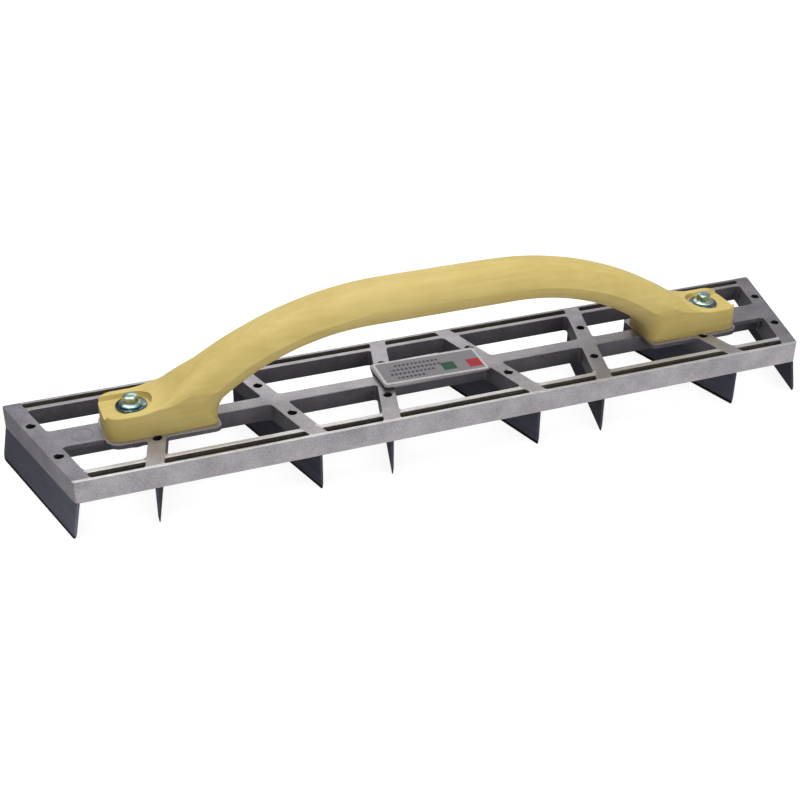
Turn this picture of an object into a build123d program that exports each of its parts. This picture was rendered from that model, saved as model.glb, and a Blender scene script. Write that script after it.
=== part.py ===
"""Lattice scraper plane for plaster and render: a cast light-alloy lattice with eight steel
scraper blades cast in under its bars, and a bow handle held by two flanged bolts.

Frame: millimetres, +X along the tool, +Y away from the user, +Z up.
Origin: the centre of the tool on the plane of the blade edges.
"""
from build123d import *
import math
import os

os.makedirs("parts", exist_ok=True)

# ---------------------------------------------------------------- driving sizes
# Lattice casting
mean_length = 477.0         # length of the casting along its middle line
frame_width = 94.0          # over the two long rails
slant = 15.0                # degrees; bars and ends lean this way and that, in turn
bar_count = 8
bar_width = 10.0            # across a bar, square to it
end_bar_inset = 5.0         # hole line of an end bar, in from the end face
end_bay_shortening = 4.5    # the two end bays are this much shorter than the others
rail_depth = 13.8           # outer faces of the rails and ends
web_depth = 10.5            # spine, bars and inner walls of the rails
outer_wall = 2.1            # outer wall of a rail
groove_width = 5.0          # groove between a rail's two walls
inner_wall = 3.4            # inner wall of a rail
groove_depth = 8.0
groove_corner = 1.0
spine_width = 10.0
window_corner = 3.0
frame_corner = 2.0

# Core-pin holes in the tops of the bars
hole_diameter = 5.0
hole_spacing = 36.8         # between the two holes of a bar, along Y
hole_depth = 5.0

# Wide plates on the spine
plate_thickness = 3.0
end_plate_width = 19.0      # in the two end bays
pad_end_margin = 0.8        # pad under a handle foot, past the foot's ends
pad_side_margin = 2.6       # and past its sides
pad_toe_corner = 9.5
pad_heel_corner = 4.0

# Label pad and label in the middle bay
label_length = 66.0
label_width = 26.6
label_thickness = 0.4
label_corner = 2.0
label_offset = -4.6         # label centre along X
label_turn = -1.7           # degrees; the label sits a little askew
label_pad_margin = 1.0
label_pad_rise = 2.6        # pad top above the casting's top
label_pad_edge = 1.0        # thickness of the pad's rim
label_gusset_depth = 5.0    # where the sloping underside meets the web, below the top

# Blades
blade_reach = 22.2          # below the rails
blade_thickness = 1.5
blade_land = 0.5            # flat left along the edge
blade_bevel = 4.0           # height of the two ground bevels
blade_embed = 4.5           # tang inside a bar, above the bar's underside
blade_corner = 0.6          # rounding of the two lower corners
end_blade_corner = 2.0      # and of an end blade's
tang_inset = 6.0            # tang ends, in from the rails' outer faces
end_blade_lean = 10.5       # degrees, outwards towards the edge
end_blade_inset = 1.4       # end blade's middle at the rail's underside, in from the end face

# Handle
bolt_inset = 54.0           # bolt from the end of the mean length
foot_toe = 17.0             # foot past the bolt, outwards
foot_heel = 46.0            # foot past the bolt, inwards
foot_height = 14.8
handle_width = 33.0
handle_rise = 64.8          # top of the grip above the casting
grip_thickness = 23.7
crown_half = 32.0           # half the level stretch on top of the grip
palm_half = 46.5            # half the level stretch under the grip
toe_blend_radius = 36.0     # hollow where the bow runs into a foot's top
heel_blend_radius = 13.0    # hollow where the underside turns down to a heel
heel_wall = 1.8             # upright part of a heel
grip_top_round = 10.6
grip_under_round = 8.8
toe_corner = 9.0
round_run_out = 22.0        # length over which the top rounding dies out on a foot
round_run_out_gap = 12.0    # it starts this far outside the heel
seat_depth = 2.5            # milled bolt seat below the foot's top
seat_width = 22.0

# Bolts and washers
bolt_diameter = 6.0
bolt_length = 25.0
bolt_hex = 8.0              # across flats, the small series
bolt_hex_height = 4.5
bolt_flange_diameter = 13.0
bolt_flange_height = 1.5
bolt_dome = 0.8             # chamfer round the top of the head
washer_diameter = 17.5
washer_thickness = 1.5
washer_bore_clearance = 0.4
handle_bore_clearance = 0.5
tapped_clearance = 0.1      # thread drawn as a plain bore
boss_diameter = 16.0

# ---------------------------------------------------------------- derived places
lean = math.tan(math.radians(slant))
half_bar_x = bar_width / 2 / math.cos(math.radians(slant))
half_length = mean_length / 2
half_width = frame_width / 2
rail_bottom = blade_reach
top = blade_reach + rail_depth
web_bottom = top - web_depth
rail_inside = half_width - outer_wall - groove_width - inner_wall
groove_inner = half_width - outer_wall - groove_width
groove_outer = half_width - outer_wall
bar_pitch = (mean_length - 2 * end_bar_inset + 2 * end_bay_shortening) / (bar_count - 1)
bolt_x = half_length - bolt_inset
toe_x = bolt_x + foot_toe
heel_x = bolt_x - foot_heel
seat_z = top + foot_height - seat_depth
pad_half = handle_width / 2 + pad_side_margin
overlap = 1.0               # how far a cutter runs past the face that it opens


def bar_side(number):
    """+1 for a bar whose far end lies to the right, -1 to the left."""
    return -1 if number % 2 else 1


def bar_x(number, y=0.0):
    """Middle of a bar, 1 to bar_count, at a distance y from the tool's middle line."""
    if number in (1, bar_count):
        base = math.copysign(half_length - end_bar_inset, number - bar_count / 2 - 0.5)
    else:
        base = (number - (bar_count + 1) / 2) * bar_pitch
    return base + bar_side(number) * lean * y


def end_x(side, y):
    """End face of the casting on one side, -1 or +1."""
    return side * (half_length + lean * y)


def prism(points, low, high):
    """Upright prism on a plan outline."""
    return extrude(Pos(0, 0, low) * make_face(Polyline(*points, close=True)), high - low)


def rounded_prism(points, low, high, radius):
    """Upright prism on a plan outline with rounded corners."""
    outline = make_face(Polyline(*points, close=True))
    outline = fillet(outline.vertices(), radius)
    return extrude(Pos(0, 0, low) * outline, high - low)


def bay_outline(number, low_y, high_y):
    """Plan of the space between a bar and the next one, from low_y to high_y."""
    return [
        (bar_x(number, low_y) + half_bar_x, low_y),
        (bar_x(number + 1, low_y) - half_bar_x, low_y),
        (bar_x(number + 1, high_y) - half_bar_x, high_y),
        (bar_x(number, high_y) + half_bar_x, high_y),
    ]


def box_between(low, high):
    """Box from one corner to the opposite one."""
    size = [b - a for a, b in zip(low, high)]
    middle = [(a + b) / 2 for a, b in zip(low, high)]
    return Pos(*middle) * Box(*size)


# ---------------------------------------------------------------- lattice casting
def casting_blank():
    """Slant-ended slab with its upright corners eased, and hollowed underneath."""
    outline = [
        (end_x(side, y), y)
        for side, y in ((-1, -half_width), (1, -half_width), (1, half_width), (-1, half_width))
    ]
    blank = rounded_prism(outline, rail_bottom, top, frame_corner)
    hollow = [
        (bar_x(1, -groove_outer) + half_bar_x, -groove_outer),
        (bar_x(bar_count, -groove_outer) - half_bar_x, -groove_outer),
        (bar_x(bar_count, groove_outer) - half_bar_x, groove_outer),
        (bar_x(1, groove_outer) + half_bar_x, groove_outer),
    ]
    return blank - prism(hollow, rail_bottom - overlap, web_bottom)


def spine_half(number):
    """Half the width of the spine's top in a bay."""
    if number in (1, bar_count - 1):
        return end_plate_width / 2
    return spine_width / 2


def window_cutters():
    """Two windows for each bay; the wide plates of the spine stay only near the top."""
    cutters = []
    plate_low = top - plate_thickness
    for number in range(1, bar_count):
        for side in (-1, 1):
            for half, low, high in (
                (spine_width / 2, rail_bottom - overlap, plate_low),
                (spine_half(number), plate_low, top + overlap),
            ):
                near, far = sorted((side * half, side * rail_inside))
                cutters.append(
                    rounded_prism(bay_outline(number, near, far), low, high, window_corner)
                )
    return cutters


def groove_cutters():
    """Grooves in the tops of the rails, broken off at every bar."""
    cutters = []
    for number in range(1, bar_count):
        for side in (-1, 1):
            near, far = sorted((side * groove_inner, side * groove_outer))
            outline = bay_outline(number, near, far)
            cutters.append(
                rounded_prism(outline, top - groove_depth, top + overlap, groove_corner)
            )
    return cutters


def hole_cutters():
    """Two blind core-pin holes in the top of every bar."""
    height = hole_depth + overlap
    return [
        Pos(bar_x(number, y), y, top - hole_depth + height / 2) * Cylinder(hole_diameter / 2, height)
        for number in range(1, bar_count + 1)
        for y in (-hole_spacing / 2, hole_spacing / 2)
    ]


def handle_pad(side):
    """Plate and tapped boss under one foot of the handle."""
    inner, outer = sorted((side * (heel_x - pad_end_margin), side * (toe_x + pad_end_margin)))
    pad = prism(
        [(inner, -pad_half), (outer, -pad_half), (outer, pad_half), (inner, pad_half)],
        top - plate_thickness,
        top,
    )
    corners = pad.edges().filter_by(Axis.Z).sort_by(lambda edge: abs(edge.center().X))
    pad = fillet(corners[:2], pad_heel_corner)
    corners = pad.edges().filter_by(Axis.Z).sort_by(lambda edge: abs(edge.center().X))
    pad = fillet(corners[-2:], pad_toe_corner)
    boss_height = top - web_bottom
    boss = Pos(side * bolt_x, 0, web_bottom + boss_height / 2)
    return pad + boss * Cylinder(boss_diameter / 2, boss_height)


def tapped_hole(side):
    """Threaded hole for a handle bolt, right through the boss."""
    height = web_depth + 2 * overlap
    radius = (bolt_diameter + tapped_clearance) / 2
    return Pos(side * bolt_x, 0, web_bottom - overlap + height / 2) * Cylinder(radius, height)


def label_pad():
    """Raised pad in the middle bay whose underside slopes in to the spine."""
    half_x = label_length / 2 + label_pad_margin
    half_y = label_width / 2 + label_pad_margin
    pad_top = top + label_pad_rise
    rim_low = pad_top - label_pad_edge
    rim = [(-half_x, -half_y), (half_x, -half_y), (half_x, half_y), (-half_x, half_y)]
    plate = rounded_prism(rim, rim_low, pad_top, label_corner)
    web = spine_width / 2
    gusset_y = half_y - label_corner / 2
    section = [
        (-gusset_y, rim_low),
        (-web, top - label_gusset_depth),
        (web, top - label_gusset_depth),
        (gusset_y, rim_low),
    ]
    gusset_x = half_x - label_corner / 2
    gusset = extrude(Plane.YZ * make_face(Polyline(*section, close=True)), gusset_x, both=True)
    return Pos(label_offset, 0, 0) * (plate + gusset)


def frame_casting(blades):
    """Whole casting, with a slot wherever a blade was cast in."""
    casting = casting_blank() - window_cutters()
    casting = casting + [handle_pad(-1), handle_pad(1), label_pad()]
    casting = casting - groove_cutters() - hole_cutters()
    casting = casting - [tapped_hole(-1), tapped_hole(1)]
    return casting - blades


# ---------------------------------------------------------------- blades
def blade_section(tilt):
    """Section across a blade: across it and up, turned about its place under the rail."""
    half = blade_thickness / 2
    stretch = math.cos(math.radians(tilt))
    edge = -blade_reach / stretch
    tang = (web_bottom + blade_embed - rail_bottom) / stretch
    points = [
        (-half, tang),
        (-half, edge + blade_bevel),
        (-blade_land / 2, edge),
        (blade_land / 2, edge),
        (half, edge + blade_bevel),
        (half, tang),
    ]
    return Rot(0, 0, tilt) * make_face(Polyline(*points, close=True))


def scraper_blade(number):
    """Blade under one bar: full width below the rails, with a narrower tang cast into the bar."""
    side = bar_side(number)
    turn = math.radians(slant)
    across = (math.cos(turn), -side * math.sin(turn), 0)
    along = (-side * math.sin(turn), -math.cos(turn), 0)
    middle = bar_x(number)
    tilt = 0.0
    if number in (1, bar_count):
        outward = math.copysign(1, middle)
        middle = outward * (half_length - end_blade_inset)
        tilt = outward * end_blade_lean
    plane = Plane(origin=(middle, 0, rail_bottom), x_dir=across, z_dir=along)
    sheet = extrude(plane * blade_section(tilt), frame_width, both=True)
    tang_y = half_width - tang_inset
    plate = Pos(0, rail_bottom / 2) * Rectangle(frame_width, blade_reach)
    corner = end_blade_corner if tilt else blade_corner
    plate = fillet(plate.vertices().sort_by(Axis.Y)[:2], corner)
    tang = Pos(0, rail_bottom + rail_depth / 2 - overlap) * Rectangle(2 * tang_y, rail_depth)
    return sheet & extrude(Plane.YZ * (plate + tang), mean_length, both=True)


# ---------------------------------------------------------------- handle
def bow_top(run, drop, blend):
    """Shoulder radius and turn of a bow that falls by drop over run into a hollow blend."""
    turn = 2 * math.atan2(drop, run)
    return run / math.sin(turn) - blend, turn


def bow_under(run, drop, blend):
    """Shoulder radius and turn of an underside that ends upright, through a hollow blend."""
    turn = 2 * math.atan2(drop - blend, run - blend)
    return (run - blend) / math.sin(turn) + blend, turn


def arc_point(centre, radius, angle):
    """Point of a circle at an angle from straight up, clockwise, in radians."""
    return (centre[0] + radius * math.sin(angle), centre[1] + radius * math.cos(angle))


def handle_side():
    """Side view of the handle, X and Z, resting on the casting's top."""
    level = top + foot_height
    crest = top + handle_rise
    palm = crest - grip_thickness
    toe_flat = bolt_x - 1.0
    shoulder, turn = bow_top(toe_flat - crown_half, crest - level, toe_blend_radius)
    hub = (crown_half, crest - shoulder)
    meet = arc_point(hub, shoulder, turn)
    toe_hub = (toe_flat, level + toe_blend_radius)
    toe_mid = arc_point(toe_hub, toe_blend_radius, math.pi + turn / 2)

    under, bend = bow_under(heel_x - palm_half, palm - top - heel_wall, heel_blend_radius)
    palm_hub = (palm_half, palm - under)
    drop_in = arc_point(palm_hub, under, bend)
    heel_hub = (heel_x - heel_blend_radius, top + heel_wall)
    heel_mid = arc_point(heel_hub, heel_blend_radius, (bend + math.pi / 2) / 2)

    half = [
        Line((0, crest), (crown_half, crest)),
        ThreePointArc((crown_half, crest), arc_point(hub, shoulder, turn / 2), meet),
        ThreePointArc(meet, toe_mid, (toe_flat, level)),
        Line((toe_flat, level), (toe_x, level)),
        Line((toe_x, level), (toe_x, top)),
        Line((toe_x, top), (heel_x, top)),
        Line((heel_x, top), (heel_x, top + heel_wall)),
        ThreePointArc((heel_x, top + heel_wall), heel_mid, drop_in),
        ThreePointArc(drop_in, arc_point(palm_hub, under, bend / 2), (palm_half, palm)),
        Line((palm_half, palm), (0, palm)),
        Line((0, palm), (0, crest)),
    ]
    right = make_face(Wire(half))
    return right + mirror(right, Plane.YZ)


def side_edges(bow, under):
    """Edges along the two side faces, either below the grip and inside the heels or on top."""
    found = []
    for edge in bow.edges():
        points = [edge.position_at(share) for share in (0, 0.5, 1)]
        if any(abs(abs(point.Y) - handle_width / 2) > 0.01 for point in points):
            continue
        if all(abs(point.Z - top) < 0.01 for point in points):
            continue
        if any(abs(point.X) > toe_x - 0.01 for point in points) and points[1].Z < top + foot_height - 0.01:
            continue
        inside = all(abs(point.X) < heel_x + 0.01 for point in points)
        low = points[1].Z < top + handle_rise - grip_thickness + 0.01
        if (inside and low) == under:
            found.append(edge)
    return found


def square_foot(side, outline):
    """Foot at its full width, its end towards the grip blunt so that the rounding dies out."""
    start = heel_x + round_run_out_gap
    nose = start + round_run_out
    half = handle_width / 2
    plan = [
        (side * start, -half / 4),
        (side * nose, -half),
        (side * toe_x, -half),
        (side * toe_x, half),
        (side * nose, half),
        (side * start, half / 4),
    ]
    return prism(plan, top, top + handle_rise) & extrude(outline, half, both=True)


def toe_edges(body):
    """Upright edges at the two ends of the handle."""
    found = []
    for edge in body.edges():
        point = edge.position_at(0.5)
        upright = abs(edge.position_at(0).Z - edge.position_at(1).Z) > foot_height / 2
        at_corner = abs(abs(point.Y) - handle_width / 2) < 0.01
        if upright and at_corner and abs(abs(point.X) - toe_x) < 0.01:
            found.append(edge)
    return found


def bolt_seat(side):
    """Milled seat, open to the toe, and the bore for the bolt."""
    radius = seat_width / 2
    low = top + foot_height - seat_depth
    pocket = Pos(side * bolt_x, 0, low + foot_height / 2) * Cylinder(radius, foot_height)
    inner, outer = sorted((side * bolt_x, side * (toe_x + overlap)))
    slot = box_between((inner, -radius, low), (outer, radius, low + foot_height))
    bore_height = foot_height + 2 * overlap
    bore = Pos(side * bolt_x, 0, top - overlap + bore_height / 2)
    return pocket + slot + bore * Cylinder((bolt_diameter + handle_bore_clearance) / 2, bore_height)


def handle():
    """Bow handle cut from one board, its grip rounded and its feet left square on top."""
    outline = Plane.XZ * handle_side()
    bow = extrude(outline, handle_width / 2, both=True)
    bow = fillet(side_edges(bow, under=False), grip_top_round)
    bow = fillet(side_edges(bow, under=True), grip_under_round)
    body = bow + [square_foot(-1, outline), square_foot(1, outline)]
    body = fillet(toe_edges(body), toe_corner)
    return body - [bolt_seat(-1), bolt_seat(1)]


# ---------------------------------------------------------------- bolts, washers, label
def washer(side):
    """Plain washer in the milled seat."""
    bore = (bolt_diameter + washer_bore_clearance) / 2
    ring = Cylinder(washer_diameter / 2, washer_thickness)
    ring = ring - Cylinder(bore, washer_thickness + 2 * overlap)
    return Pos(side * bolt_x, 0, seat_z + washer_thickness / 2) * ring


def bolt(side):
    """Hexagon bolt with a flange under its head, drawn without its thread."""
    seat = seat_z + washer_thickness
    flange = Pos(0, 0, bolt_flange_height / 2) * Cylinder(bolt_flange_diameter / 2, bolt_flange_height)
    head = extrude(RegularPolygon(bolt_hex / 2, 6, major_radius=False), bolt_hex_height)
    crown = Pos(0, 0, bolt_flange_height + bolt_hex_height)
    cap_radius = bolt_hex / 2 / math.cos(math.radians(30))
    cone = Pos(0, 0, -bolt_hex_height / 2) * Cylinder(cap_radius, bolt_hex_height)
    cone = chamfer(cone.edges().sort_by(Axis.Z)[-1], bolt_dome)
    head = (Pos(0, 0, bolt_flange_height) * head) & (crown * cone)
    shank = Pos(0, 0, -bolt_length / 2) * Cylinder(bolt_diameter / 2, bolt_length)
    return Pos(side * bolt_x, 0, seat) * (flange + head + shank)


def label_plate():
    """Thin label, a little askew on its pad."""
    outline = RectangleRounded(label_length, label_width, label_corner)
    low = Pos(label_offset, 0, top + label_pad_rise)
    return low * Rot(0, 0, label_turn) * extrude(outline, label_thickness)


# ---------------------------------------------------------------- save every piece
def save(name, piece):
    """Write one piece as its own file."""
    export_step(piece, f"parts/{name}.step")


blades = [scraper_blade(number) for number in range(1, bar_count + 1)]
save("frame_casting", frame_casting(blades))
for number, blade in enumerate(blades, start=1):
    save(f"scraper_blade_{number}", blade)
save("handle", handle())
save("bolt_left", bolt(-1))
save("bolt_right", bolt(1))
save("washer_left", washer(-1))
save("washer_right", washer(1))
save("label_plate", label_plate())
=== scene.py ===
"""Looks of a lattice scraper plane: casting, blades, bow handle, bolts and label.

The sizes in the classes are millimetres in the CAD frame: +X along the tool, +Y to the back, +Z up,
with the origin at the middle of the tool on the plane of the blade edges.
"""
import logging
import math
from collections.abc import Callable, Iterable
from dataclasses import dataclass, field
from enum import Enum
from typing import Any

import bmesh
import bpy
from mathutils import Matrix, Vector, noise


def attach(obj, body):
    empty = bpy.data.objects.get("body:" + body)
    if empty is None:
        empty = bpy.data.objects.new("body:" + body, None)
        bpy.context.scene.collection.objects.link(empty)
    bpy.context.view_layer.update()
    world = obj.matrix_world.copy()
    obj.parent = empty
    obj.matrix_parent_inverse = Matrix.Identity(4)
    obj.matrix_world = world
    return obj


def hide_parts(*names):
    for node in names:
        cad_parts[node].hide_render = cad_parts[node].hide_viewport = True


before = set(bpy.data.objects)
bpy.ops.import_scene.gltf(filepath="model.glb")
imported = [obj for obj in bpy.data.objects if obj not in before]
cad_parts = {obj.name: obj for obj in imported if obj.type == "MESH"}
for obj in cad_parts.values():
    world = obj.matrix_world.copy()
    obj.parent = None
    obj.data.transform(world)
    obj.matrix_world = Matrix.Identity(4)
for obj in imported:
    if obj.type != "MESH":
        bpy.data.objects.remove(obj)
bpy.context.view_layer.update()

MM = 0.001  # one millimetre in the scene's metres
ROOT = "root"
WELD = 1e-4  # millimetres within which two points are one
SAME = 1e-3  # millimetres within which two places are level or in line
TINY = 0.01  # millimetres; an edge or a gap below this is an accident
SLACK = 0.1  # millimetres by which a test of place may be off
FLUSH = math.radians(1)  # two faces that turn less than this lie in one plane
CORNER = math.radians(20)  # an upright edge that turns more than this is a corner
SHARP = math.radians(50)  # an edge that turns more than this is sharp
HEX = math.radians(70)  # the turn between two flats of a hexagon is under this
LOG = logging.getLogger("lattice_scraper")


class Slot(Enum):
    """Material slots of the part's record."""

    CAST_ALLOY = "cast_alloy"
    BLADE_STEEL = "blade_steel"
    LACQUERED_WOOD = "lacquered_wood"
    ZINC_STEEL = "zinc_steel"
    LABEL_FOIL = "label_foil"


class Side(Enum):
    """The two ends of the tool."""

    LEFT = -1
    RIGHT = 1


class Cut(Enum):
    """How one solid cuts another."""

    AWAY = "DIFFERENCE"
    SHARED = "INTERSECT"


class Zone(Enum):
    """What a patch of the lattice's plan is, seen from above."""

    WINDOW = "window"
    PLATE = "plate"
    RIB = "rib"
    GROOVE = "groove"
    WALL = "wall"


# ------------------------------------------------------------------ small helpers
def srgb(code: str) -> tuple[float, float, float, float]:
    """Turns a hex colour into linear red, green, blue and alpha.

    Args:
        code: Colour such as "#A39DA3".

    Returns:
        Linear colour with an alpha of 1.
    """
    parts = [int(code[i : i + 2], 16) / 255 for i in (1, 3, 5)]
    linear = [c / 12.92 if c <= 0.04045 else ((c + 0.055) / 1.055) ** 2.4 for c in parts]
    return (linear[0], linear[1], linear[2], 1.0)


def add(
    tree: bpy.types.NodeTree,
    kind: str,
    sockets: dict | None = None,
    stops: Iterable[tuple[float, str]] = (),
    **settings: Any,
) -> bpy.types.Node:
    """Adds a node with its settings, and with values or links on its input sockets.

    Args:
        tree: Node tree of a material or the world.
        kind: Node type, such as "ShaderNodeTexNoise".
        sockets: Input name or number to a value, or to the output socket that feeds it.
        stops: Rising positions of a colour ramp, each with its hex colour.
        **settings: Properties of the node.

    Returns:
        The new node.
    """
    node = tree.nodes.new(kind)
    for name, value in settings.items():
        setattr(node, name, value)
    for name, value in (sockets or {}).items():
        if isinstance(value, bpy.types.NodeSocket):
            tree.links.new(value, node.inputs[name])
        else:
            node.inputs[name].default_value = value
    for number, (position, code) in enumerate(stops):
        elements = node.color_ramp.elements
        stop = elements[number] if number < len(elements) else elements.new(position)
        stop.position = position
        stop.color = srgb(code)
    return node


def repeats(size_mm: float) -> float:
    """Pattern scale, per metre, at which a pattern's blotches or bands have a real size."""
    return 1 / (size_mm * MM)


def is_level(edge: bmesh.types.BMEdge) -> bool:
    """Whether both ends of an edge are at the same height."""
    return abs(edge.verts[0].co.z - edge.verts[1].co.z) < SAME


def is_upright(edge: bmesh.types.BMEdge) -> bool:
    """Whether an edge runs straight up and down."""
    return (edge.verts[0].co - edge.verts[1].co).xy.length < SAME


def bevel(bm: bmesh.types.BMesh, edges: list, offset: float, segments: int) -> None:
    """Rounds edges of a mesh.

    Args:
        bm: Mesh to change.
        edges: Edges to round.
        offset: Distance from each edge to where its rounding starts.
        segments: Faces across the rounding.
    """
    bmesh.ops.bevel(
        bm,
        geom=edges,
        offset=offset,
        offset_type="OFFSET",
        segments=segments,
        profile=0.5,
        affect="EDGES",
        material=-1,
        clamp_overlap=True,
        loop_slide=True,
    )


def push(bm: bmesh.types.BMesh, faces: list, shift: Vector, keep: bool = False) -> list:
    """Extrudes a region of faces and moves it.

    Args:
        bm: Mesh to change.
        faces: Faces of the region.
        shift: How far the new faces move.
        keep: Whether the old faces stay, to close a flat sheet into a solid.

    Returns:
        The moved faces.
    """
    made = bmesh.ops.extrude_face_region(bm, geom=faces)["geom"]
    bmesh.ops.translate(bm, vec=shift, verts=[v for v in made if isinstance(v, bmesh.types.BMVert)])
    if not keep:
        bmesh.ops.delete(bm, geom=[face for face in faces if face.is_valid], context="FACES")
    return [f for f in made if isinstance(f, bmesh.types.BMFace)]


def turned(bm: bmesh.types.BMesh, profile: list[tuple[float, float]], centre: Vector, steps: int) -> None:
    """Spins a profile of radius and height into a closed round solid.

    Args:
        bm: Mesh that the solid is added to.
        profile: Points from the axis back to it, or round an open ring, in order.
        centre: Place of the profile's origin.
        steps: Faces round the solid.
    """
    points = [bm.verts.new(centre + Vector((radius, 0.0, height))) for radius, height in profile]
    edges = [bm.edges.new(pair) for pair in zip(points, points[1:])]
    if profile[0][0] > SAME:
        edges.append(bm.edges.new((points[-1], points[0])))
    bmesh.ops.spin(
        bm,
        geom=points + edges,
        cent=centre,
        axis=(0.0, 0.0, 1.0),
        angle=math.tau,
        steps=steps,
        use_merge=True,
        use_duplicate=False,
    )


def as_object(bm: bmesh.types.BMesh, name: str) -> bpy.types.Object:
    """Turns a mesh in millimetres into an object in metres, at the origin.

    Args:
        bm: Finished mesh; it is freed.
        name: Name of the object.

    Returns:
        The new object, linked to the scene.
    """
    bmesh.ops.remove_doubles(bm, verts=bm.verts, dist=WELD)
    bmesh.ops.recalc_face_normals(bm, faces=bm.faces)
    bmesh.ops.scale(bm, vec=Vector((MM, MM, MM)), verts=bm.verts)
    mesh = bpy.data.meshes.new(name)
    bm.to_mesh(mesh)
    bm.free()
    piece = bpy.data.objects.new(name, mesh)
    bpy.context.scene.collection.objects.link(piece)
    return piece


def reopened(piece: bpy.types.Object) -> bmesh.types.BMesh:
    """Takes an object back into a mesh in millimetres, and removes the object.

    Args:
        piece: Object in metres, at the origin.

    Returns:
        Its mesh, to be worked on further.
    """
    bm = bmesh.new()
    bm.from_mesh(piece.data)
    bmesh.ops.scale(bm, vec=Vector((1 / MM,) * 3), verts=bm.verts)
    spent = piece.data
    bpy.data.objects.remove(piece)
    bpy.data.meshes.remove(spent)
    return bm


def carve(piece: bpy.types.Object, cutter: bpy.types.Object, how: Cut = Cut.AWAY) -> None:
    """Cuts a piece with another solid, and removes the cutter.

    Args:
        piece: Solid that is cut.
        cutter: Solid that cuts it.
        how: Whether the cutter is taken away or only what both share stays.
    """
    cut = piece.modifiers.new("cut", "BOOLEAN")
    cut.operation = how.value
    cut.solver = "EXACT"
    cut.object = cutter
    graph = bpy.context.evaluated_depsgraph_get()
    mesh = bpy.data.meshes.new_from_object(piece.evaluated_get(graph))
    piece.modifiers.remove(cut)
    old = piece.data
    piece.data = mesh
    mesh.name = old.name
    bpy.data.meshes.remove(old)
    spent = cutter.data
    bpy.data.objects.remove(cutter)
    bpy.data.meshes.remove(spent)


def smooth(piece: bpy.types.Object, crease_degrees: float, weighted: bool = False) -> None:
    """Shades a piece smooth, with its sharper edges kept crisp.

    Args:
        piece: Object to shade.
        crease_degrees: Edges that turn more than this stay crisp.
        weighted: Whether flat faces keep their normals beside small roundings.
    """
    piece.data.shade_smooth()
    piece.data.set_sharp_from_angle(angle=math.radians(crease_degrees))
    if weighted:
        normals = piece.modifiers.new("flat faces first", "WEIGHTED_NORMAL")
        normals.keep_sharp = True


def settle(piece: bpy.types.Object, nodes: Iterable[str] = ()) -> None:
    """Puts a finished piece on the tool's body and says which CAD nodes it stands for.

    Args:
        piece: Finished object.
        nodes: CAD nodes that the piece replaces.
    """
    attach(piece, ROOT)
    names = list(nodes)
    if names:
        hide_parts(*names)
    faces = len(piece.data.polygons)
    LOG.info("%s: %d faces, replaces %s", piece.name, faces, ", ".join(names) or "nothing")


# ------------------------------------------------------------------ finishes
@dataclass(frozen=True)
class Finish:
    """Base of every finish: one Principled material with a name."""

    name: str

    def paint(self, tree: bpy.types.NodeTree, shader: bpy.types.Node, place: Any) -> None:
        """Sets the shader's sockets; each finish has its own.

        Args:
            tree: The material's node tree.
            shader: Its Principled shader.
            place: Object coordinates, in metres.
        """
        raise NotImplementedError

    def material(self) -> bpy.types.Material:
        """Builds the material, or finds it if it is already there.

        Returns:
            The material.
        """
        found = bpy.data.materials.get(self.name)
        if found:
            return found
        made = bpy.data.materials.new(self.name)
        made.use_nodes = True
        tree = made.node_tree
        tree.nodes.clear()
        shader = add(tree, "ShaderNodeBsdfPrincipled")
        add(tree, "ShaderNodeOutputMaterial", {"Surface": shader.outputs["BSDF"]})
        place = add(tree, "ShaderNodeTexCoord").outputs["Object"]
        self.paint(tree, shader, place)
        return made


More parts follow.
